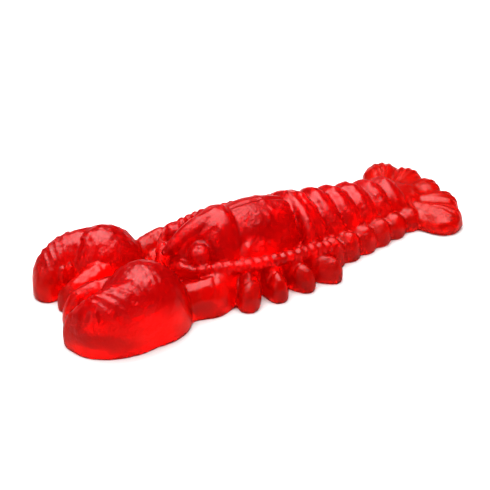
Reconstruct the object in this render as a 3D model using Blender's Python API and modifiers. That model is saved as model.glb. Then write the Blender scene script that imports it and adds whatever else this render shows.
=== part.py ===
"""A red gummy lobster: one moulded jelly sweet, lying on its flat underside.

Units are metres and +Z is up. The claws point along -X and the tail fan along +X. The origin is under the
middle of the sweet, on the surface that it lies on. The sweet is poured into a hollow pressed in starch, so
its forms stand on one flat base and are widest just above it."""

import math

import bmesh
import bpy
from mathutils import Euler, Matrix, Vector, noise

# Lengths along the sweet
LENGTH = 0.0770
CLAW_LENGTH = 0.0205
CARAPACE_LENGTH = 0.0240
TAIL_LENGTH = 0.0215
SNOUT_SETBACK = 0.0005

# Heights above the flat underside
WIDEST_AT = 0.0009
BACK_HEIGHT = 0.0122
CLAW_HEIGHT = 0.0104
ARM_HEIGHT = 0.0060
TAIL_FIRST_HEIGHT = 0.0102
TAIL_LAST_HEIGHT = 0.0070
FAN_HEIGHT = 0.0037
LEG_HEIGHT = 0.0048
SKIRT_HEIGHT = 0.0050

# Half widths and places across the sweet
BACK_HALF_WIDTH = 0.0079
SKIRT_HALF_WIDTH = 0.0096
CLAW_HALF_WIDTH = 0.0063
CLAW_OFFSET = 0.0070
TAIL_FIRST_HALF_WIDTH = 0.0074
TAIL_LAST_HALF_WIDTH = 0.0054
LEG_REACH = 0.0134

# Small forms
FAN_ROOT_HALF_LENGTH = 0.0056
TAIL_SEGMENTS = 6
TAIL_TILT = -0.16
LEG_PAIRS = 4
LEG_PITCH = 0.0041
LEG_RADIUS = 0.0020
ARM_RADIUS = 0.0029
ANTENNA_RADIUS = 0.0010
EYE_RADIUS = 0.0017
RIM_RADIUS = 0.0012
FURROW_RADIUS = 0.0009
SEAM_RADIUS = 0.0005

# One claw is the heavier of the two, and the whole sweet has set a little crooked and uneven
HEAVY_CLAW = 1.06
LIGHT_CLAW = 0.95
SWAY = 0.0016
UNEVEN = 0.0003
UNEVEN_WAVELENGTH = 0.011
UNEVEN_SEED = 5

# How finely the fused form is kept
BALL_DETAIL = 4
SMALL_BALL_DETAIL = 3
VOXEL = 0.00042
SOFTENING_ROUNDS = 5
TRIANGLES = 10500
BASE_SKIN = 0.0002

JELLY_RED = (0.58, 0.004, 0.008, 1.0)
JELLY_ROUGHNESS = 0.32

FRONT = -LENGTH / 2
REAR = LENGTH / 2
WRIST = FRONT + CLAW_LENGTH
SNOUT = WRIST + SNOUT_SETBACK
WAIST = SNOUT + CARAPACE_LENGTH
FAN_ROOT = WAIST + TAIL_LENGTH
SIDES = {"right": -1, "left": 1}


def clear_scene():
    for obj in list(bpy.data.objects):
        bpy.data.objects.remove(obj, do_unlink=True)


def collection_named(name):
    collection = bpy.data.collections.new(name)
    bpy.context.scene.collection.children.link(collection)
    return collection


def keep(collection, name, bm):
    """Turns a bmesh into an object of the collection."""
    mesh = bpy.data.meshes.new(name)
    bm.to_mesh(mesh)
    bm.free()
    obj = bpy.data.objects.new(name, mesh)
    collection.objects.link(obj)
    return obj


def between(first, last, share):
    return first + (last - first) * share


def along_shield(share):
    """The station along the back shield, from 0 at the snout to 1 at the waist."""
    return between(SNOUT, WAIST, share)


def on_shield(along, across, up):
    """A point given as shares of the back shield's length, half width and height."""
    return Vector((along_shield(along), across * BACK_HALF_WIDTH, up * BACK_HEIGHT))


def ball(forms, name, centre, half, heading=0.0, tilt=0.0, detail=SMALL_BALL_DETAIL):
    """A sphere stretched to three half sizes, tilted about Y, turned about Z and put in place."""
    turn = Euler((0.0, tilt, heading)).to_matrix().to_4x4()
    place = Matrix.Translation(centre) @ turn @ Matrix.Diagonal((*half, 1.0))
    bm = bmesh.new()
    bmesh.ops.create_icosphere(bm, subdivisions=detail, radius=1.0, matrix=place)
    return keep(forms, name, bm)


def mound(forms, name, x, y, half_x, half_y, height, heading=0.0, tilt=0.0, detail=BALL_DETAIL):
    """A rounded lump that stands on the base and is widest at WIDEST_AT."""
    half = (half_x, half_y, height - WIDEST_AT)
    return ball(forms, name, (x, y, WIDEST_AT), half, heading, tilt, detail)


def tube_mesh(name, path, radii, collection):
    """The mesh of a tapering tube through the points of path."""
    curve = bpy.data.curves.new(name, "CURVE")
    curve.dimensions = "3D"
    curve.bevel_depth = 1.0
    curve.bevel_resolution = 4
    curve.resolution_u = 6
    curve.use_fill_caps = True
    spline = curve.splines.new("BEZIER")
    spline.radius_interpolation = "CARDINAL"
    spline.bezier_points.add(len(path) - 1)
    for point, place, radius in zip(spline.bezier_points, path, radii, strict=True):
        point.co = place
        point.radius = radius
        point.handle_left_type = "AUTO"
        point.handle_right_type = "AUTO"
    guide = bpy.data.objects.new(name, curve)
    collection.objects.link(guide)
    graph = bpy.context.evaluated_depsgraph_get()
    mesh = bpy.data.meshes.new_from_object(guide.evaluated_get(graph))
    bpy.data.objects.remove(guide, do_unlink=True)
    return mesh


def rod(forms, name, path, radii, rise=1.0, lift=0.0):
    """A tapering round rod through the points of path, closed by a ball at each end.

    rise stretches it upwards and lift raises it, for a rod that stands on the base."""
    mesh = tube_mesh(name, path, radii, forms)
    bm = bmesh.new()
    bm.from_mesh(mesh)
    bpy.data.meshes.remove(mesh)
    bmesh.ops.remove_doubles(bm, verts=bm.verts, dist=1e-6)
    stretch = Matrix.Translation((0.0, 0.0, lift)) @ Matrix.Diagonal((1.0, 1.0, rise, 1.0))
    bmesh.ops.transform(bm, matrix=stretch, verts=bm.verts)
    bmesh.ops.recalc_face_normals(bm, faces=bm.faces)
    keep(forms, name, bm)
    for end, place, radius in (("start", path[0], radii[0]), ("end", path[-1], radii[-1])):
        centre = (place[0], place[1], place[2] * rise + lift)
        ball(forms, f"{name}_{end}", centre, (radius, radius, radius * rise))


def standing_rod(forms, name, path, radii, height):
    """A rod drawn in plan that stands on the base, and is as tall as height where it is thickest."""
    rise = (height - WIDEST_AT) / max(radii)
    rod(forms, name, [(x, y, 0.0) for x, y in path], radii, rise, WIDEST_AT)


def arch(station, half_width, height, sweep, steps=9, spring_deg=8.0):
    """Points over the back from side to side, set back by sweep where the arch is highest."""
    angles = [math.radians(between(spring_deg, 180.0 - spring_deg, i / (steps - 1))) for i in range(steps)]
    return [(station + sweep * math.sin(a), -half_width * math.cos(a), height * math.sin(a)) for a in angles]


def make_back_shield(forms):
    """The carapace, as overlapping lumps, each with its place, half length, half width and height."""
    lumps = {
        "flanks": (0.53, 0.51, 1.00, 0.82),
        "crown": (0.62, 0.50, 0.84, 0.97),
        "shoulders": (0.40, 0.34, 0.80, 1.00),
        "head": (0.22, 0.24, 0.70, 0.80),
    }
    for name, (place, half_length, half_width, height) in lumps.items():
        mound(forms, name, along_shield(place), 0.0, half_length * CARAPACE_LENGTH,
              half_width * BACK_HALF_WIDTH, height * BACK_HEIGHT)
    mound(forms, "skirt", along_shield(0.62), 0.0, 0.62 * CARAPACE_LENGTH, SKIRT_HALF_WIDTH, SKIRT_HEIGHT)
    rim = arch(along_shield(0.93), 0.95 * BACK_HALF_WIDTH, 0.755 * BACK_HEIGHT, RIM_RADIUS / 2)
    rod(forms, "rolled_rim", rim, [RIM_RADIUS] * len(rim))


def make_face(forms):
    """The beak between the eyes, the mouth parts under it and the cheeks that meet the arms."""
    beak = [on_shield(0.36, 0.0, 0.86), on_shield(0.16, 0.0, 0.76), on_shield(-0.02, 0.0, 0.56)]
    rod(forms, "beak", beak, [1.1 * EYE_RADIUS, 0.95 * EYE_RADIUS, 0.5 * EYE_RADIUS])
    for name, side in SIDES.items():
        ball(forms, f"{name}_eye", on_shield(0.13, side * 0.51, 0.60), (EYE_RADIUS,) * 3)
        mound(forms, f"{name}_jaw", along_shield(0.03), side * 1.2 * EYE_RADIUS, 2.1 * EYE_RADIUS,
              1.2 * EYE_RADIUS, 0.48 * BACK_HEIGHT, heading=side * 0.20)
        mound(forms, f"{name}_cheek", along_shield(0.13), side * 0.70 * BACK_HALF_WIDTH, 3.3 * EYE_RADIUS,
              2.3 * EYE_RADIUS, 0.35 * BACK_HEIGHT)


def make_antennae(forms):
    """A feeler on each side, swept back along the flank above the legs."""
    for name, side in SIDES.items():
        path = [on_shield(0.02, side * 0.38, 0.41),
                on_shield(0.13, side * 0.74, 0.46),
                on_shield(0.36, side * 0.99, 0.45),
                on_shield(0.70, side * 1.09, 0.41),
                on_shield(1.02, side * 1.05, 0.35)]
        radii = [share * ANTENNA_RADIUS for share in (1.3, 1.3, 1.1, 1.0, 0.8)]
        rod(forms, f"{name}_antenna", path, radii)


def make_tail(forms):
    """Arched rings that overlap like shingles, each with a rounded flap at both sides."""
    pitch = TAIL_LENGTH / TAIL_SEGMENTS
    for i in range(TAIL_SEGMENTS):
        share = i / (TAIL_SEGMENTS - 1)
        x = WAIST + (i + 0.40) * pitch
        half_width = between(TAIL_FIRST_HALF_WIDTH, TAIL_LAST_HALF_WIDTH, share)
        height = between(TAIL_FIRST_HEIGHT, TAIL_LAST_HEIGHT, share)
        mound(forms, f"ring_{i}", x, 0.0, 0.95 * pitch, half_width, height, tilt=TAIL_TILT)
        for name, side in SIDES.items():
            mound(forms, f"{name}_flap_{i}", x + 0.20 * pitch, side * half_width, 0.66 * pitch,
                  0.62 * pitch, 0.50 * height, heading=side * 0.60)


def make_fan(forms):
    """Five flat lobes spread from the root of the tail, each broader at its end.

    A lobe has its heading in degrees, its reach as a share of the fan's, and its half width."""
    lobes = {
        "middle_lobe": (0, 1.00, 0.0035),
        "left_inner_lobe": (29, 1.06, 0.0039),
        "right_inner_lobe": (-29, 1.06, 0.0039),
        "left_outer_lobe": (57, 1.08, 0.0041),
        "right_outer_lobe": (-57, 1.08, 0.0041),
    }
    mound(forms, "fan_root", FAN_ROOT, 0.0, FAN_ROOT_HALF_LENGTH, 1.05 * TAIL_LAST_HALF_WIDTH,
          1.25 * FAN_HEIGHT)
    for name, (degrees, share, half_width) in lobes.items():
        heading = math.radians(degrees)
        start = Vector((FAN_ROOT, 0.5 * TAIL_LAST_HALF_WIDTH * math.sin(heading)))
        reach = share * (REAR - FAN_ROOT) - half_width
        end = start + reach * Vector((math.cos(heading), math.sin(heading)))
        standing_rod(forms, name, [start, start.lerp(end, 0.5), end],
                     [0.62 * half_width, 0.85 * half_width, half_width], FAN_HEIGHT)


def make_legs(forms):
    """Pairs of short thick walking legs that hug the flank, the first leaning forward and the last back."""
    for i in range(LEG_PAIRS):
        x = along_shield(0.38) + i * LEG_PITCH
        lean = LEG_PITCH * between(-0.34, 0.54, i / (LEG_PAIRS - 1))
        for name, side in SIDES.items():
            path = [(x, side * 0.62 * SKIRT_HALF_WIDTH),
                    (x + 0.3 * lean, side * SKIRT_HALF_WIDTH),
                    (x + lean, side * (LEG_REACH - LEG_RADIUS))]
            radii = [LEG_RADIUS, LEG_RADIUS, 0.86 * LEG_RADIUS]
            standing_rod(forms, f"{name}_leg_{i}", path, radii, LEG_HEIGHT)


def make_claw(forms, name, side, scale):
    """An arm bent out from the shoulder, a swollen palm, a broad outer finger and a small inner thumb."""
    half_width = CLAW_HALF_WIDTH * scale
    height = CLAW_HEIGHT * scale

    def spot(along, across):
        """Along the claw from wrist (0) to tip (1), and across it outwards from its middle line."""
        return WRIST - along * CLAW_LENGTH * min(scale, 1.0), side * (CLAW_OFFSET + across * half_width)

    arm = [(along_shield(0.34), side * 0.63 * BACK_HALF_WIDTH),
           (along_shield(0.15), side * 1.05 * BACK_HALF_WIDTH),
           (WRIST, side * 0.99 * BACK_HALF_WIDTH),
           spot(0.25, 0.0)]
    radii = [share * ARM_RADIUS for share in (0.90, 1.0, 0.93, 1.0)]
    standing_rod(forms, f"{name}_arm", arm, radii, ARM_HEIGHT)
    mound(forms, f"{name}_palm", *spot(0.37, 0.02), 0.34 * CLAW_LENGTH * scale, half_width, height,
          heading=-0.10 * side)
    finger = [spot(0.35, 0.22), spot(0.58, 0.36), spot(0.78, 0.26), spot(0.89, 0.02)]
    radii = [share * half_width for share in (0.73, 0.71, 0.58, 0.38)]
    standing_rod(forms, f"{name}_finger", finger, radii, 0.93 * height)
    thumb = [spot(0.38, -0.48), spot(0.60, -0.74), spot(0.74, -0.82), spot(0.82, -0.76)]
    radii = [share * half_width for share in (0.48, 0.44, 0.37, 0.27)]
    standing_rod(forms, f"{name}_thumb", thumb, radii, 0.68 * height)


def make_furrows(cutters):
    """The furrow that crosses the back behind the head, and the fine seam along its middle."""
    furrow = arch(along_shield(0.34), 0.80 * BACK_HALF_WIDTH, BACK_HEIGHT, 0.12 * CARAPACE_LENGTH)
    rod(cutters, "neck_furrow", furrow, [FURROW_RADIUS] * len(furrow))
    seam = [on_shield(0.46, 0.0, 1.04), on_shield(0.60, 0.0, 1.04), on_shield(0.76, 0.0, 1.00),
            on_shield(0.90, 0.0, 0.92)]
    rod(cutters, "back_seam", seam, [SEAM_RADIUS] * len(seam))


def apply_modifiers(obj):
    graph = bpy.context.evaluated_depsgraph_get()
    shape = bpy.data.meshes.new_from_object(obj.evaluated_get(graph))
    old = obj.data
    obj.modifiers.clear()
    obj.data = shape
    bpy.data.meshes.remove(old)


def fuse(core, forms):
    """Joins every form of the collection to the core, and removes what has been joined."""
    joint = core.modifiers.new("Fuse", "BOOLEAN")
    joint.operation = "UNION"
    joint.operand_type = "COLLECTION"
    joint.collection = forms
    apply_modifiers(core)
    for obj in list(forms.objects):
        bpy.data.objects.remove(obj, do_unlink=True)
    bpy.data.collections.remove(forms)


def cut_away(obj, cutter):
    """Takes the cutter's shape out of the object, and removes the cutter."""
    cutter.hide_render = True
    cutter.display_type = "WIRE"
    cut = obj.modifiers.new("Cut", "BOOLEAN")
    cut.operation = "DIFFERENCE"
    cut.object = cutter
    apply_modifiers(obj)
    bpy.data.objects.remove(cutter, do_unlink=True)


def cut_base(obj, cutters, level):
    """Cuts away what lies below a level, leaving a flat face there."""
    depth = BACK_HEIGHT
    bm = bmesh.new()
    bmesh.ops.create_cube(bm, size=1.0)
    bmesh.ops.scale(bm, vec=(2 * LENGTH, LENGTH, depth), verts=bm.verts)
    bmesh.ops.translate(bm, vec=(0.0, 0.0, level - depth / 2), verts=bm.verts)
    cut_away(obj, keep(cutters, "below_base", bm))


def soften(obj):
    """Melts the joined forms into each other, as jelly does."""
    remesh = obj.modifiers.new("Even skin", "REMESH")
    remesh.mode = "VOXEL"
    remesh.voxel_size = VOXEL
    smooth = obj.modifiers.new("Soften", "SMOOTH")
    smooth.factor = 0.5
    smooth.iterations = SOFTENING_ROUNDS
    apply_modifiers(obj)


def set_crooked(obj):
    """Bends the sweet a little in plan and makes its surface uneven."""
    noise.seed_set(UNEVEN_SEED)
    for vertex in obj.data.vertices:
        along = vertex.co.x / REAR
        wander = noise.noise_vector(vertex.co / UNEVEN_WAVELENGTH)
        vertex.co += wander * UNEVEN + Vector((0.0, SWAY * (along * along - 0.4 * along), 0.0))


def thin_out(obj):
    """Brings the mesh down to the number of triangles that the solid keeps."""
    obj.data.calc_loop_triangles()
    thin = obj.modifiers.new("Thin out", "DECIMATE")
    thin.ratio = TRIANGLES / len(obj.data.loop_triangles)
    apply_modifiers(obj)


def centre_on_origin(obj):
    """Puts the middle of the box over the origin, and the base at zero."""
    low = Vector([min(vertex.co[i] for vertex in obj.data.vertices) for i in range(3)])
    high = Vector([max(vertex.co[i] for vertex in obj.data.vertices) for i in range(3)])
    middle = (low + high) / 2
    obj.data.transform(Matrix.Translation((-middle.x, -middle.y, -low.z)))


def red_jelly():
    material = bpy.data.materials.new("red_jelly")
    material.use_nodes = True
    shader = material.node_tree.nodes["Principled BSDF"]
    shader.inputs["Base Color"].default_value = JELLY_RED
    shader.inputs["Roughness"].default_value = JELLY_ROUGHNESS
    shader.inputs["Metallic"].default_value = 0.0
    material.diffuse_color = JELLY_RED
    return material


clear_scene()
sweet = collection_named("gummy_lobster")
forms = collection_named("forms")
cutters = collection_named("cutters")
make_back_shield(forms)
make_face(forms)
make_antennae(forms)
make_tail(forms)
make_fan(forms)
make_legs(forms)
make_claw(forms, "right", SIDES["right"], HEAVY_CLAW)
make_claw(forms, "left", SIDES["left"], LIGHT_CLAW)

lobster = forms.objects["flanks"]
forms.objects.unlink(lobster)
sweet.objects.link(lobster)
lobster.name = "gummy_lobster"
fuse(lobster, forms)
make_furrows(cutters)
for cutter in list(cutters.objects):
    cut_away(lobster, cutter)
cut_base(lobster, cutters, -BASE_SKIN)
soften(lobster)
set_crooked(lobster)
thin_out(lobster)
cut_base(lobster, cutters, 0.0)
bpy.data.collections.remove(cutters)
centre_on_origin(lobster)
lobster.data.name = "gummy_lobster"
lobster.data.materials.clear()
lobster.data.materials.append(red_jelly())
lobster.data.shade_smooth()
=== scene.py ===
"""The looks of a red gummy lobster, one moulded jelly sweet that lies on its flat underside.

Lengths are in metres. The claws point along -X, the tail fan along +X, and the back is up."""

import math

import bmesh
import bpy
import numpy as np
from mathutils import Euler, Matrix, Vector, kdtree, noise


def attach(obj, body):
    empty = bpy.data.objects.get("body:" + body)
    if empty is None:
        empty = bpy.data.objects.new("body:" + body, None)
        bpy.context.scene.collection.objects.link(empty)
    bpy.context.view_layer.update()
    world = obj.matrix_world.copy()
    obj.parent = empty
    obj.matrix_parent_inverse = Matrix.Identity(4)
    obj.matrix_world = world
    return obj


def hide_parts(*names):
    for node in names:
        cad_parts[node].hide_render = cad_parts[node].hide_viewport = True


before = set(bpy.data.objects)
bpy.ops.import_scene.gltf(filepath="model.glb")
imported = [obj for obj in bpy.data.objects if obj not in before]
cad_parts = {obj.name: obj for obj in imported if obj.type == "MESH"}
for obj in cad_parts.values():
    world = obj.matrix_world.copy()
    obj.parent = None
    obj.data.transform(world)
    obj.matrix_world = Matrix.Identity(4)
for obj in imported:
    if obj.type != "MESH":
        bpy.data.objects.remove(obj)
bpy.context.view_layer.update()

# The back shield: one smooth swollen piece of jelly over the middle of the sweet, with a low skirt
# that carries the legs and a rolled rim where the tail starts. The whole sweet is poured in one hollow,
# so the shield and every form after it go into one mesh.
LENGTH = 0.0770
CLAW_LENGTH = 0.0205
CARAPACE_LENGTH = 0.0240
SNOUT_SETBACK = 0.0005
FRONT = -LENGTH / 2
WRIST = FRONT + CLAW_LENGTH
SNOUT = WRIST + SNOUT_SETBACK
WAIST = SNOUT + CARAPACE_LENGTH
WIDEST_AT = 0.0009
BACK_HEIGHT = 0.0122
BACK_HALF_WIDTH = 0.0079
# Where each swelling lies along the shield, then its half length, half width and height, as shares.
BACK_SWELLINGS = (
    (0.53, 0.51, 1.00, 0.82),
    (0.62, 0.50, 0.84, 0.97),
    (0.40, 0.34, 0.80, 1.00),
    (0.22, 0.24, 0.70, 0.80),
)
SKIRT_MIDDLE = 0.62
SKIRT_HALF_LENGTH = 0.62
SKIRT_HALF_WIDTH = 0.0096
SKIRT_HEIGHT = 0.0050
RIM_MIDDLE = 0.93
RIM_RADIUS = 0.0012
RIM_SPAN = 0.95
RIM_RISE = 0.755

mould = bmesh.new()


def between(first, last, share):
    return first + (last - first) * share


def along_shield(share):
    """The station along the back shield, from 0 at the snout to 1 at the waist."""
    return between(SNOUT, WAIST, share)


def on_shield(along, across, up):
    """A point given as shares of the back shield's length, half width and height."""
    return np.array((along_shield(along), across * BACK_HALF_WIDTH, up * BACK_HEIGHT))


def add_to_mould(form):
    """Takes a finished form into the mould."""
    shape = bpy.data.meshes.new("form")
    form.to_mesh(shape)
    form.free()
    mould.from_mesh(shape)
    bpy.data.meshes.remove(shape)


def put_ball(form, centre, half, heading=0.0, tilt=0.0, detail=3):
    """A sphere stretched to three half sizes, tilted about Y, turned about Z and put in place."""
    turn = Euler((0.0, tilt, heading)).to_matrix().to_4x4()
    place = Matrix.Translation(centre) @ turn @ Matrix.Diagonal((*half, 1.0))
    bmesh.ops.create_icosphere(form, subdivisions=detail, radius=1.0, matrix=place)


def ball(centre, half, heading=0.0, tilt=0.0, detail=3):
    form = bmesh.new()
    put_ball(form, centre, half, heading, tilt, detail)
    add_to_mould(form)


def mound(x, y, half_x, half_y, height, heading=0.0, tilt=0.0, detail=4):
    """A rounded lump that stands on the flat side and is widest at WIDEST_AT."""
    ball((x, y, WIDEST_AT), (half_x, half_y, height - WIDEST_AT), heading, tilt, detail)


for middle, half_length, half_width, height in BACK_SWELLINGS:
    mound(along_shield(middle), 0.0, half_length * CARAPACE_LENGTH, half_width * BACK_HALF_WIDTH,
          height * BACK_HEIGHT)
mound(along_shield(SKIRT_MIDDLE), 0.0, SKIRT_HALF_LENGTH * CARAPACE_LENGTH, SKIRT_HALF_WIDTH,
      SKIRT_HEIGHT)


def arch(station, half_width, height, sweep, steps=9, spring_deg=8.0):
    """Points over the back from side to side, set back by sweep where the arch is highest."""
    angles = np.radians(np.linspace(spring_deg, 180.0 - spring_deg, steps))
    return [np.array((station + sweep * math.sin(a), -half_width * math.cos(a), height * math.sin(a)))
            for a in angles]


def curve_through(points, steps):
    """A smooth run of points through a few, by the Catmull-Rom rule."""
    ends = [2 * points[0] - points[1], *points, 2 * points[-1] - points[-2]]
    run = []
    for before, start, end, after in zip(ends, ends[1:], ends[2:], ends[3:]):
        for t in np.arange(steps) / steps:
            bend = 2 * before - 5 * start + 4 * end - after
            twist = 3 * (start - end) + after - before
            run.append(start + t / 2 * (end - before + t * (bend + t * twist)))
    return [*run, points[-1]]


def rod(path, radii, steps=10, rise=1.0, detail=2):
    """A tapering round rod along a smooth path, as a close row of balls. rise stretches them upwards."""
    form = bmesh.new()
    stations = [np.array((*place, radius)) for place, radius in zip(path, radii, strict=True)]
    for x, y, z, radius in curve_through(stations, steps):
        put_ball(form, (x, y, z), (radius, radius, radius * rise), detail=detail)
    add_to_mould(form)


rolled_rim = arch(along_shield(RIM_MIDDLE), RIM_SPAN * BACK_HALF_WIDTH, RIM_RISE * BACK_HEIGHT,
                  RIM_RADIUS / 2)
rod(rolled_rim, [RIM_RADIUS] * len(rolled_rim), steps=6)

# The lines on the back shield: a neck furrow and a crease before the rim, from side to side, and a
# seam along the middle. The mould's fine marks are noted here as a width and a height, raised or
# sunk, and are pressed into the jelly when it has set.
NECK_FURROW = (0.00080, -0.00055)
NECK_AT = 0.34
NECK_SWEEP = 0.12
FURROW_SPAN = 0.86
FURROW_STEPS = 90
BACK_SEAM = (0.00032, -0.00028)
BACK_SEAM_ENDS = (0.48, 0.88)
RIM_CREASE = (0.00035, -0.00022)
RIM_CREASE_AT = 0.865
MARK_PITCH = 0.0002

marks = []


def mark(points, width, height):
    """Notes a raised line, or a sunk one if height is negative, that is pressed in from above later on."""
    marks.append((np.array([tuple(point)[:2] for point in points]), width, height))


def straight(start, end):
    """Points along a straight line in plan, no more than MARK_PITCH apart."""
    shares = np.linspace(0.0, 1.0, 2 + int(math.dist(start[:2], end[:2]) / MARK_PITCH))
    return [(between(start[0], end[0], t), between(start[1], end[1], t)) for t in shares]


furrow_half_width = FURROW_SPAN * BACK_HALF_WIDTH
mark(arch(along_shield(NECK_AT), furrow_half_width, BACK_HEIGHT, NECK_SWEEP * CARAPACE_LENGTH,
          FURROW_STEPS), *NECK_FURROW)
mark(straight(*(on_shield(share, 0.0, 0.0) for share in BACK_SEAM_ENDS)), *BACK_SEAM)
mark(arch(along_shield(RIM_CREASE_AT), furrow_half_width, BACK_HEIGHT, RIM_RADIUS / 2, FURROW_STEPS),
     *RIM_CREASE)

# The head: a pointed beak that runs down from the shield between two round eyes. Each eye sits in a
# shallow socket, and two low lobes of jelly below it join it to the arm and the feeler. Right and left
# are as seen by someone who faces the claws.
RIGHT = -1
LEFT = 1
BOTH_SIDES = (RIGHT, LEFT)
EYE_RADIUS = 0.0017
EYE_PLACE = (0.13, 0.51, 0.60)
# Where the beak runs along and up the shield, as shares, and then its radius there over an eye's.
BEAK = ((0.36, 0.86, 1.1), (0.16, 0.76, 0.95), (-0.02, 0.56, 0.5))
LIP_AT = 0.03
LIP_OFFSET = 1.2 * EYE_RADIUS
LIP_HALF_SIZE = (2.1 * EYE_RADIUS, 1.2 * EYE_RADIUS)
LIP_HEIGHT = 0.48 * BACK_HEIGHT
LIP_TURN = 0.20
CHEEK_AT = 0.13
CHEEK_OFFSET = 0.70 * BACK_HALF_WIDTH
CHEEK_HALF_SIZE = (3.3 * EYE_RADIUS, 2.3 * EYE_RADIUS)
CHEEK_HEIGHT = 0.35 * BACK_HEIGHT
EYE_SOCKET = (0.00035, -0.00030)
SOCKET_RADIUS = 1.25 * EYE_RADIUS
PUPIL = (0.00045, -0.00030)
BEAK_RIDGE = (0.00030, 0.00022)
BEAK_RIDGE_ENDS = ((0.05, 0.16), (0.30, 0.30))
# In degrees times metres, which comes to about a fifth of a millimetre along a ring.
RING_STEP = 0.012


def ring_round(x, y, radius, first_deg=0.0, last_deg=360.0):
    """Points along an arc in plan, no more than RING_STEP apart."""
    steps = 2 + int(abs(last_deg - first_deg) * radius / RING_STEP)
    angles = np.radians(np.linspace(first_deg, last_deg, steps))
    return [(x + radius * math.cos(a), y + radius * math.sin(a)) for a in angles]


rod([on_shield(along, 0.0, up) for along, up, share in BEAK],
    [share * EYE_RADIUS for along, up, share in BEAK])
for side in BOTH_SIDES:
    along, across, up = EYE_PLACE
    eye = on_shield(along, side * across, up)
    ball(eye, (EYE_RADIUS,) * 3, detail=4)
    mound(along_shield(LIP_AT), side * LIP_OFFSET, *LIP_HALF_SIZE, LIP_HEIGHT, heading=side * LIP_TURN)
    mound(along_shield(CHEEK_AT), side * CHEEK_OFFSET, *CHEEK_HALF_SIZE, CHEEK_HEIGHT)
    mark(ring_round(eye[0], eye[1], SOCKET_RADIUS), *EYE_SOCKET)
    mark([eye], *PUPIL)
    mark(straight(*(on_shield(along, side * across, 0.0) for along, across in BEAK_RIDGE_ENDS)),
         *BEAK_RIDGE)

# The feelers: a thin raised bead of jelly on each side, swept back along the flank above the legs.
# In the hollow they are a row of small pits, so they come out knobbly.
ANTENNA_RADIUS = 0.0010
# Where a feeler runs along, across and up the shield, as shares, and then its radius there.
FEELER = (
    (0.02, 0.38, 0.41, 1.3),
    (0.13, 0.74, 0.46, 1.3),
    (0.36, 0.99, 0.45, 1.1),
    (0.70, 1.09, 0.41, 1.0),
    (1.02, 1.05, 0.35, 0.8),
)
BEAD_STEPS = 40
KNOB_PITCH = 0.0015
KNOB_RADIUS = 1.25 * ANTENNA_RADIUS
KNOB_HALF_SIZE = (0.8 * KNOB_RADIUS, KNOB_RADIUS, KNOB_RADIUS)
KNOB_LIFT = 0.25
for side in BOTH_SIDES:
    path = [on_shield(along, side * across, up) for along, across, up, share in FEELER]
    rod(path, [share * ANTENNA_RADIUS for *place, share in FEELER])
    bead = curve_through(path, BEAD_STEPS)
    walked = KNOB_PITCH
    for last, here in zip(bead, bead[1:]):
        walked += np.linalg.norm(here - last)
        if walked > KNOB_PITCH:
            walked -= KNOB_PITCH
            outwards = np.array((0.0, side, 1.0)) * KNOB_LIFT * ANTENNA_RADIUS
            ball(here + outwards, KNOB_HALF_SIZE, detail=2)

# The tail: arched rings of jelly that overlap like shingles and get smaller towards the fan, each
# with a rounded flap at both sides. Lengths along it are shares of the pitch of its rings.
TAIL_LENGTH = 0.0215
TAIL_SEGMENTS = 6
TAIL_PITCH = TAIL_LENGTH / TAIL_SEGMENTS
TAIL_TILT = -0.16
TAIL_HEIGHTS = (0.0102, 0.0070)
TAIL_HALF_WIDTHS = (0.0074, 0.0054)
RING_MIDDLE = 0.40
RING_HALF_LENGTH = 0.95
RING_LINE = (0.00030, 0.00012)
RING_LINE_AT = 0.30
RING_LINE_SPAN = 0.8
RING_KNOB = (0.00075, 0.00020)
RING_KNOB_AT = 0.05
FLAP_AT = 0.20
FLAP_HALF_SIZE = (0.66 * TAIL_PITCH, 0.62 * TAIL_PITCH)
FLAP_RISE = 0.50
FLAP_TURN = 0.60
FLAP_KNOB = (0.00060, 0.00022)
FLAP_KNOB_OUT = 1.12
for i in range(TAIL_SEGMENTS):
    share = i / (TAIL_SEGMENTS - 1)
    x = WAIST + (i + RING_MIDDLE) * TAIL_PITCH
    half_width = between(*TAIL_HALF_WIDTHS, share)
    height = between(*TAIL_HEIGHTS, share)
    mound(x, 0.0, RING_HALF_LENGTH * TAIL_PITCH, half_width, height, tilt=TAIL_TILT)
    edge = x + RING_LINE_AT * TAIL_PITCH
    line_half_width = RING_LINE_SPAN * half_width
    mark(straight((edge, -line_half_width), (edge, line_half_width)), *RING_LINE)
    mark([(x - RING_KNOB_AT * TAIL_PITCH, 0.0)], *RING_KNOB)
    for side in BOTH_SIDES:
        mound(x + FLAP_AT * TAIL_PITCH, side * half_width, *FLAP_HALF_SIZE, FLAP_RISE * height,
              heading=side * FLAP_TURN)
        mark([(edge, side * FLAP_KNOB_OUT * half_width)], *FLAP_KNOB)

# The fan: five flat lobes spread from the end of the tail, each broader at its tip and pressed with
# ribs that run out along it.
REAR = LENGTH / 2
FAN_ROOT = WAIST + TAIL_LENGTH
FAN_HEIGHT = 0.0037
FAN_ROOT_HALF_SIZE = (0.0056, 1.05 * TAIL_HALF_WIDTHS[1])
FAN_ROOT_HEIGHT = 1.25 * FAN_HEIGHT
# The direction of each lobe in degrees, then its share of the way to the rear and its half width.
FAN_LOBES = {0: (1.00, 0.0035), 29: (1.06, 0.0039), -29: (1.06, 0.0039),
             57: (1.08, 0.0041), -57: (1.08, 0.0041)}
LOBE_START = 0.5 * TAIL_HALF_WIDTHS[1]
LOBE_TAPER = (0.62, 0.85, 1.0)
RIBS_PER_SIDE = 1
RIB_SPREAD = 0.55
RIB_START = 0.35
RIB_END = 0.66
RIB = (0.00046, 0.00026)


def standing_rod(path, radii, height, steps=10, detail=2):
    """A rod drawn in plan that stands on the flat side, and is as tall as height where it is thickest."""
    rise = (height - WIDEST_AT) / max(radii)
    rod([(x, y, WIDEST_AT) for x, y in path], radii, steps, rise, detail)


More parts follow.
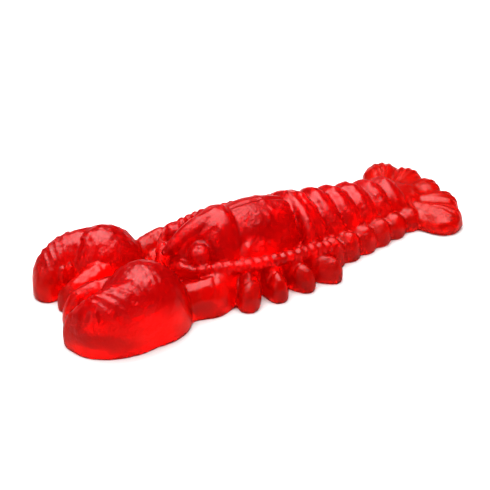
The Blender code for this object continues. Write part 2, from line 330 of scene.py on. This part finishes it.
def pointing(heading):
    """A step of length one in plan, at an angle to the middle line."""
    return Vector((math.cos(heading), math.sin(heading)))


mound(FAN_ROOT, 0.0, *FAN_ROOT_HALF_SIZE, FAN_ROOT_HEIGHT)
for degrees, (share, half_width) in FAN_LOBES.items():
    heading = math.radians(degrees)
    start = Vector((FAN_ROOT, LOBE_START * math.sin(heading)))
    reach = share * (REAR - FAN_ROOT) - half_width
    end = start + reach * pointing(heading)
    standing_rod([start, start.lerp(end, 0.5), end], [part * half_width for part in LOBE_TAPER],
                 FAN_HEIGHT)
    ribs = []
    for k in range(-RIBS_PER_SIDE, RIBS_PER_SIDE + 1):
        first = start + pointing(heading) * RIB_START * reach
        last = end + pointing(heading + RIB_SPREAD * k) * RIB_END * half_width
        ribs += straight(first, last)
    mark(ribs, *RIB)

# The legs: four pairs of short thick lobes that hug the flank, the first leaning forward and the last
# back, each with a crease at its knee.
LEG_PAIRS = 4
LEG_PITCH = 0.0041
LEG_RADIUS = 0.0020
LEG_TIP_RADIUS = 0.86 * LEG_RADIUS
LEG_REACH = 0.0134
LEG_HEIGHT = 0.0048
LEG_LEANS = (-0.34, 0.54)
LEG_LEAN_AT_SKIRT = 0.3
FIRST_LEG_AT = 0.38
HIP_OFFSET = 0.62 * SKIRT_HALF_WIDTH
KNEE_AT = 0.45
KNEE_CREASE = (0.00028, -0.00022)
for i in range(LEG_PAIRS):
    x = along_shield(FIRST_LEG_AT) + i * LEG_PITCH
    lean = LEG_PITCH * between(*LEG_LEANS, i / (LEG_PAIRS - 1))
    for side in BOTH_SIDES:
        path = [(x, side * HIP_OFFSET), (x + LEG_LEAN_AT_SKIRT * lean, side * SKIRT_HALF_WIDTH),
                (x + lean, side * (LEG_REACH - LEG_RADIUS))]
        standing_rod(path, [LEG_RADIUS, LEG_RADIUS, LEG_TIP_RADIUS], LEG_HEIGHT)
        knee = between(np.array(path[1]), np.array(path[2]), KNEE_AT)
        mark(straight(knee - (LEG_RADIUS, 0.0), knee + (LEG_RADIUS, 0.0)), *KNEE_CREASE)

# The claws: an arm bent out from the shoulder, a swollen palm, a broad outer finger and a small inner
# thumb. The right one is the heavier of the two. Places on a claw are shares of its length and width.
CLAW_SCALES = {RIGHT: 1.06, LEFT: 0.95}
CLAW_HEIGHT = 0.0104
CLAW_HALF_WIDTH = 0.0063
CLAW_OFFSET = 0.0070
ARM_RADIUS = 0.0029
ARM_TAPER = (0.90, 1.0, 0.93, 1.0)
ARM_HEIGHT = 0.0060
SHOULDER = (0.34, 0.63)
ELBOW = (0.15, 1.05)
WRIST_SPREAD = 0.99
ARM_END = (0.25, 0.0)
PALM = (0.37, 0.02)
PALM_HALF_LENGTH = 0.34
PALM_TURN = -0.10
FINGER = ((0.35, 0.22), (0.58, 0.36), (0.78, 0.26), (0.89, 0.02))
FINGER_TAPER = (0.73, 0.71, 0.58, 0.38)
FINGER_RISE = 0.93
FINGER_STEPS = 14
THUMB = ((0.38, -0.48), (0.60, -0.74), (0.74, -0.82), (0.82, -0.76))
THUMB_TAPER = (0.48, 0.44, 0.37, 0.27)
THUMB_RISE = 0.68
TEETH = ((0.56, -0.20), (0.63, -0.24), (0.70, -0.24), (0.77, -0.22))
TOOTH_RADIUS = 0.00085
TOOTH_RISE = 0.58


def claw_spot(side, along, across):
    """Along a claw from wrist (0) to tip (1), and across it outwards from its middle line."""
    scale = CLAW_SCALES[side]
    return (WRIST - along * CLAW_LENGTH * min(scale, 1.0),
            side * (CLAW_OFFSET + across * CLAW_HALF_WIDTH * scale))


def arm_spot(side, along, across):
    """A place in plan beside the back shield, given as shares of its length and half width."""
    return along_shield(along), side * across * BACK_HALF_WIDTH


for side, scale in CLAW_SCALES.items():
    half_width = CLAW_HALF_WIDTH * scale
    height = CLAW_HEIGHT * scale
    arm = [arm_spot(side, *SHOULDER), arm_spot(side, *ELBOW),
           (WRIST, side * WRIST_SPREAD * BACK_HALF_WIDTH), claw_spot(side, *ARM_END)]
    standing_rod(arm, [share * ARM_RADIUS for share in ARM_TAPER], ARM_HEIGHT)
    mound(*claw_spot(side, *PALM), PALM_HALF_LENGTH * CLAW_LENGTH * scale, half_width, height,
          heading=PALM_TURN * side)
    standing_rod([claw_spot(side, *spot) for spot in FINGER],
                 [share * half_width for share in FINGER_TAPER], FINGER_RISE * height,
                 steps=FINGER_STEPS, detail=3)
    standing_rod([claw_spot(side, *spot) for spot in THUMB],
                 [share * half_width for share in THUMB_TAPER], THUMB_RISE * height)
    for spot in TEETH:
        mound(*claw_spot(side, *spot), TOOTH_RADIUS, TOOTH_RADIUS, TOOTH_RISE * height, detail=3)

# The marks on the claws: curved growth ridges near the tips, fine stippling all over, and creases
# where wrist and elbow bend.
GROWTH_RIDGES = 4
GROWTH_RIDGE = (0.00028, 0.00016)
HINGE = (0.40, -0.10)
RIDGE_RADII = (0.44, 0.052)
RIDGE_AIM_DEG = 22
RIDGE_HALF_SPAN_DEG = 44
STIPPLE = (0.00034, 0.00008)
STIPPLE_PITCH = 0.00125
STIPPLE_ROW_PITCH = 0.87 * STIPPLE_PITCH
STIPPLE_ENDS = (0.14, 0.95)
WRIST_CREASE = (0.00045, -0.00030)
WRIST_CREASE_AT = 0.06
ELBOW_CREASE = (0.00035, -0.00025)
ELBOW_CREASE_AT = 0.13
CREASE_SLANT = 0.0006
for side, scale in CLAW_SCALES.items():
    half_width = CLAW_HALF_WIDTH * scale
    hinge = claw_spot(side, *HINGE)
    outwards = 180 - side * RIDGE_AIM_DEG
    for k in range(GROWTH_RIDGES):
        radius = (RIDGE_RADII[0] - k * RIDGE_RADII[1]) * CLAW_LENGTH
        mark(ring_round(*hinge, radius, outwards - RIDGE_HALF_SPAN_DEG, outwards + RIDGE_HALF_SPAN_DEG),
             *GROWTH_RIDGE)
    first_row, last_row = (share * CLAW_LENGTH for share in STIPPLE_ENDS)
    rows = enumerate(np.arange(first_row, last_row, STIPPLE_ROW_PITCH))
    across = np.arange(-half_width, half_width, STIPPLE_PITCH)
    mark([(WRIST - back, side * CLAW_OFFSET + out + 0.5 * STIPPLE_PITCH * (row % 2))
          for row, back in rows for out in across], *STIPPLE)
    x, y = claw_spot(side, WRIST_CREASE_AT, 0.0)
    mark(straight((x, y - half_width), (x + CREASE_SLANT, y + half_width)), *WRIST_CREASE)
    x, y = along_shield(ELBOW_CREASE_AT), arm_spot(side, *ELBOW)[1]
    mark(straight((x - CREASE_SLANT, y - ARM_RADIUS), (x + 2 * CREASE_SLANT, y + ARM_RADIUS)),
         *ELBOW_CREASE)

# The pour: the forms melt into one body with one flat open side, and their joins round off. The mould
# is cut off a little below the table's level, so that the flat side is whole.
BASE_SKIN = 0.0002
VOXEL = 0.00027
MELT = 0.00034
MELT_PASSES = round(4 * (MELT / VOXEL) ** 2)

bmesh.ops.bisect_plane(mould, geom=[*mould.verts, *mould.edges, *mould.faces],
                       plane_co=(0.0, 0.0, -BASE_SKIN), plane_no=(0.0, 0.0, 1.0), clear_inner=True)
bmesh.ops.holes_fill(mould, edges=[edge for edge in mould.edges if edge.is_boundary])
bmesh.ops.recalc_face_normals(mould, faces=mould.faces)
sweet_mesh = bpy.data.meshes.new("gummy_lobster_jelly")
mould.to_mesh(sweet_mesh)
mould.free()
sweet = bpy.data.objects.new("gummy_lobster_jelly", sweet_mesh)
bpy.context.scene.collection.objects.link(sweet)


def apply_modifiers(piece):
    graph = bpy.context.evaluated_depsgraph_get()
    shape = bpy.data.meshes.new_from_object(piece.evaluated_get(graph))
    piece.modifiers.clear()
    piece.data = shape


even_skin = sweet.modifiers.new("Even skin", "REMESH")
even_skin.mode = "VOXEL"
even_skin.voxel_size = VOXEL
melt = sweet.modifiers.new("Melt", "SMOOTH")
melt.factor = 0.5
melt.iterations = MELT_PASSES
apply_modifiers(sweet)

# The set jelly: the marks in the hollow come out as low relief, with small pimples all over the shell.
# The sweet dries a little crooked and wrinkled, and its flat open side sinks in as it cools.
PIMPLES = 900
PIMPLE_SEED = 11
PIMPLE_WIDTHS = (0.00028, 0.00050)
PIMPLE_HEIGHTS = (0.00003, 0.00013)
PIMPLES_TO_SIDE = 0.0115
MARKS_FADE_AT = 0.12
MARKS_FADE_OVER = 0.45
SWAY = 0.0016
SWAY_TILT = 0.4
UNEVEN = 0.0003
UNEVEN_WAVELENGTH = 0.011
UNEVEN_SEED = 5
WRINKLE = 0.00005
WRINKLE_WAVELENGTH = 0.0016
SINK = 0.00050
SINK_VARIES = 0.5
SINK_REACH = 0.0016
FACING_DOWN = -0.8
RIM_HEIGHT = 0.0007
RIM_ROUNDS = 4


def points_of(mesh):
    places = np.empty(3 * len(mesh.vertices), dtype=np.float32)
    mesh.vertices.foreach_get("co", places)
    return places.reshape(-1, 3).astype(np.float64)


def normals_of(mesh):
    directions = np.empty(3 * len(mesh.vertices), dtype=np.float32)
    mesh.vertex_normals.foreach_get("vector", directions)
    return directions.reshape(-1, 3).astype(np.float64)


chance = np.random.default_rng(PIMPLE_SEED)
for x, y, size, lift in chance.random((PIMPLES, 4)):
    spot = (between(FRONT, FAN_ROOT, x), between(-PIMPLES_TO_SIDE, PIMPLES_TO_SIDE, y))
    mark([spot], between(*PIMPLE_WIDTHS, size), between(*PIMPLE_HEIGHTS, lift))

places = points_of(sweet.data)
directions = normals_of(sweet.data)
facing_up = np.clip((directions[:, 2] - MARKS_FADE_AT) / MARKS_FADE_OVER, 0.0, 1.0)
rise = np.zeros(len(places))
for line, width, height in marks:
    reach = 3 * width
    close = (places[:, :2] > line.min(axis=0) - reach) & (places[:, :2] < line.max(axis=0) + reach)
    near = np.flatnonzero(close.all(axis=1) & (facing_up > 0.0))
    gaps = np.linalg.norm(places[near, None, :2] - line[None], axis=2).min(axis=1)
    rise[near] += height * np.exp(-((gaps / width) ** 2)) * facing_up[near]

open_side = (places[:, 2] < 0.0) & (directions[:, 2] < FACING_DOWN)
lower_wall = ~open_side & (places[:, 2] < RIM_HEIGHT)
noise.seed_set(UNEVEN_SEED)
wander = np.array([noise.noise_vector(place) for place in places / UNEVEN_WAVELENGTH])
rise += WRINKLE * np.array([noise.noise(place) for place in places / WRINKLE_WAVELENGTH])
along = places[:, 0] / REAR
places += directions * rise[:, None] + wander * UNEVEN
places[:, 1] += SWAY * (along * along - SWAY_TILT * along)
places[:, 2] = np.maximum(places[:, 2], 0.0)

wall = kdtree.KDTree(len(places))
for i in np.flatnonzero(lower_wall):
    wall.insert(places[i], i)
wall.balance()
for i in np.flatnonzero(open_side):
    inwards = wall.find(places[i])[2]
    depth = SINK * (1.0 + SINK_VARIES * wander[i, 0])
    places[i, 2] = depth * (1.0 - math.exp(-((inwards / SINK_REACH) ** 2)))

low, high = places.min(axis=0), places.max(axis=0)
places -= np.array(((low[0] + high[0]) / 2, (low[1] + high[1]) / 2, low[2]))
sweet.data.vertices.foreach_set("co", places.astype(np.float32).ravel())
sweet.data.update()
rim = sweet.vertex_groups.new(name="rim")
rim.add([int(i) for i in np.flatnonzero(places[:, 2] < RIM_HEIGHT)], 1.0, "REPLACE")
rounding = sweet.modifiers.new("Round rim", "SMOOTH")
rounding.factor = 0.5
rounding.iterations = RIM_ROUNDS
rounding.vertex_group = "rim"
apply_modifiers(sweet)
sweet.data.shade_smooth()

# The jelly: gelatine and syrup dyed a deep red, clear enough that light glows through its thin parts.
# On top of that, its colour is painted lighter and a little warmer low down, where the parts are thin,
# as a painted glow. Its skin has dried to a fine satin wrinkle, which is smoother where a thin trace
# of oil lies on it.
# The two reds paint a glow: the deep red is used high up, and the lighter, warmer red low down, where
# light would glow through thin jelly.
RED_WHERE_THICK = (0.66, 0.001, 0.005, 1.0)
RED_WITH_PAINTED_GLOW = (0.72, 0.022, 0.004, 1.0)
THIN_BELOW = 0.0020
THICK_ABOVE = 0.0085
CLOUD = 0.006
CLOUD_SHIFT = 0.003
CLEARNESS = 0.78
JELLY_IOR = 1.43
SHINE = 0.60
DYE_LEFT = (1.0, 0.030, 0.010, 1.0)
DYE_STRENGTH = 110.0
GLOW_DEPTH = 0.0060
GLOW_SPREAD = (1.0, 0.05, 0.03)
OILED_ROUGHNESS = 0.31
DRY_ROUGHNESS = 0.45
OIL_PATCH = 0.0065
OIL_EDGE = (0.36, 0.60)
GRAIN = 0.00042
GRAIN_SHARE = 0.35
CREASE = 0.0016
CREASE_STRETCH = (0.6, 1.3, 1.0)
WRINKLE_DEPTH = 0.00026
SMOOTH_SHARE = 0.25


class Wire:
    """A socket in a material that can be added to, multiplied and so on."""

    def __init__(self, tree, socket):
        self.tree = tree
        self.socket = socket

    def node(self, kind, settings=(), sockets=(), output=0):
        """Adds any node: its settings come first, then the values or wires of its sockets."""
        made = self.tree.nodes.new(kind)
        for name, value in dict(settings).items():
            setattr(made, name, value)
        for name, value in dict(sockets).items():
            if isinstance(value, Wire):
                self.tree.links.new(value.socket, made.inputs[name])
            else:
                made.inputs[name].default_value = value
        return Wire(self.tree, made.outputs[output])

    def sum_up(self, operation, first, second):
        return self.node("ShaderNodeMath", {"operation": operation}, {0: first, 1: second})

    def __add__(self, other):
        return self.sum_up("ADD", self, other)

    def __radd__(self, other):
        return self.sum_up("ADD", other, self)

    def __sub__(self, other):
        return self.sum_up("SUBTRACT", self, other)

    def __rsub__(self, other):
        return self.sum_up("SUBTRACT", other, self)

    def __mul__(self, other):
        return self.sum_up("MULTIPLY", self, other)

    def __rmul__(self, other):
        return self.sum_up("MULTIPLY", other, self)

    def ramp(self, low, high):
        """From 0 at low to 1 at high, eased at both ends."""
        sockets = {"Value": self, "From Min": low, "From Max": high}
        return self.node("ShaderNodeMapRange", {"interpolation_type": "SMOOTHSTEP"}, sockets)

    def noise(self, wavelength, detail=2.0, stretch=(1.0, 1.0, 1.0)):
        """Soft noise read at this place, with lumps about one wavelength apart."""
        scale = [share / wavelength for share in stretch]
        spot = self.node("ShaderNodeMapping", sockets={"Vector": self, "Scale": scale})
        sockets = {"Vector": spot, "Scale": 1.0, "Detail": detail}
        return self.node("ShaderNodeTexNoise", sockets=sockets)


jelly = bpy.data.materials.new("red_jelly")
jelly.use_nodes = True
tree = jelly.node_tree
shader = tree.nodes["Principled BSDF"]
here = Wire(tree, tree.nodes.new("ShaderNodeTexCoord").outputs["Object"])
up = here.node("ShaderNodeSeparateXYZ", sockets={"Vector": here}, output=2)
painted_glow_wobble = here.noise(CLOUD, detail=1.0)
# Painted glow by height: the base colour turns from the lighter, warmer red low down to the deep red high
# up, along a noisy edge.
painted_glow_fade = (up + CLOUD_SHIFT * (painted_glow_wobble - 0.5)).ramp(THIN_BELOW, THICK_ABOVE)
red = here.node("ShaderNodeMix", {"data_type": "RGBA"},
                {"Factor": painted_glow_fade, "A": RED_WITH_PAINTED_GLOW, "B": RED_WHERE_THICK}, output=2)
dryness = here.noise(OIL_PATCH, detail=3.0).ramp(*OIL_EDGE)
roughness = OILED_ROUGHNESS + dryness * (DRY_ROUGHNESS - OILED_ROUGHNESS)
wrinkles = here.noise(CREASE, stretch=CREASE_STRETCH) + GRAIN_SHARE * here.noise(GRAIN, detail=1.0)
wrinkles = (wrinkles - 0.5) * (SMOOTH_SHARE + dryness * (1.0 - SMOOTH_SHARE))
skin = here.node("ShaderNodeBump", sockets={"Height": wrinkles, "Distance": WRINKLE_DEPTH})
for name, wire in {"Base Color": red, "Roughness": roughness, "Normal": skin}.items():
    tree.links.new(wire.socket, shader.inputs[name])
shader.inputs["IOR"].default_value = JELLY_IOR
shader.inputs["Specular IOR Level"].default_value = SHINE
shader.inputs["Transmission Weight"].default_value = CLEARNESS
shader.inputs["Subsurface Weight"].default_value = 1.0
shader.inputs["Subsurface Radius"].default_value = GLOW_SPREAD
shader.inputs["Subsurface Scale"].default_value = GLOW_DEPTH
soak = tree.nodes.new("ShaderNodeVolumeAbsorption")
soak.inputs["Color"].default_value = DYE_LEFT
soak.inputs["Density"].default_value = DYE_STRENGTH
tree.links.new(soak.outputs["Volume"], tree.nodes["Material Output"].inputs["Volume"])
sweet.data.materials.clear()
sweet.data.materials.append(jelly)
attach(sweet, "root")
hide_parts("gummy_lobster")

# The table: a plain pale sheet of paper, as in a product photograph.
# It is lit strongly enough to show as white.
PAPER_HALF_SIZE = 1.0
PAPER_GREY = (0.48, 0.48, 0.48, 1.0)
PAPER_ROUGHNESS = 0.9
floor_bmesh = bmesh.new()
bmesh.ops.create_grid(floor_bmesh, x_segments=1, y_segments=1, size=PAPER_HALF_SIZE)
floor_mesh = bpy.data.meshes.new("floor")
floor_bmesh.to_mesh(floor_mesh)
floor_bmesh.free()
floor = bpy.data.objects.new("floor", floor_mesh)
bpy.context.scene.collection.objects.link(floor)
paper = bpy.data.materials.new("pale_paper")
paper.use_nodes = True
paper.node_tree.nodes["Principled BSDF"].inputs["Base Color"].default_value = PAPER_GREY
paper.node_tree.nodes["Principled BSDF"].inputs["Roughness"].default_value = PAPER_ROUGHNESS
floor.data.materials.append(paper)

# The light: a very broad soft lamp overhead, which lays the satin sheen over all that faces up, and a
# weak one ahead of the claws. The room gives a little light from all round, and shows as plain white.
ROOM_LIGHT = 0.12
BACKDROP = 1.0


def soft_lamp(name, place, width, height, watts):
    """A rectangle of even light that faces the sweet."""
    lamp = bpy.data.lights.new(name, "AREA")
    lamp.shape = "RECTANGLE"
    lamp.size = width
    lamp.size_y = height
    lamp.energy = watts
    holder = bpy.data.objects.new(name, lamp)
    holder.location = place
    holder.rotation_mode = "QUATERNION"
    holder.rotation_quaternion = (Vector() - Vector(place)).to_track_quat("-Z", "Y")
    bpy.context.scene.collection.objects.link(holder)


soft_lamp("overhead", (0.0, 0.30, 2.10), width=2.30, height=3.30, watts=112.0)
soft_lamp("side", (-2.25, -0.50, 1.10), width=1.25, height=1.25, watts=8.0)
world = bpy.data.worlds.new("studio")
world.use_nodes = True
sky = world.node_tree.nodes["Background"]
straight_rays = world.node_tree.nodes.new("ShaderNodeLightPath").outputs["Is Camera Ray"]
room = ROOM_LIGHT + Wire(world.node_tree, straight_rays) * (BACKDROP - ROOM_LIGHT)
sky.inputs["Color"].default_value = (1.0, 1.0, 1.0, 1.0)
world.node_tree.links.new(room.socket, sky.inputs["Strength"])
bpy.context.scene.world = world
bpy.context.scene.view_settings.view_transform = "Standard"
bpy.context.scene.view_settings.look = "Very High Contrast"

# The camera: a long lens that looks down on the sweet from one side and a little ahead of its claws,
# so that they come nearest and both the back and a flank show.
LENS_MM = 85
AZIMUTH = math.radians(-32)
ELEVATION = math.radians(33)
DISTANCE = 0.192
TARGET = Vector((-0.003, 0.0, 0.003))
camera_data = bpy.data.cameras.new("camera")
camera_data.lens = LENS_MM
camera_data.clip_start = 0.01
camera_data.clip_end = 10.0
camera = bpy.data.objects.new("camera", camera_data)
level = math.cos(ELEVATION)
towards = Vector((math.sin(AZIMUTH) * level, -math.cos(AZIMUTH) * level, math.sin(ELEVATION)))
camera.location = TARGET + DISTANCE * towards
camera.rotation_mode = "QUATERNION"
camera.rotation_quaternion = (TARGET - camera.location).to_track_quat("-Z", "Y")
bpy.context.scene.collection.objects.link(camera)
bpy.context.scene.camera = camera
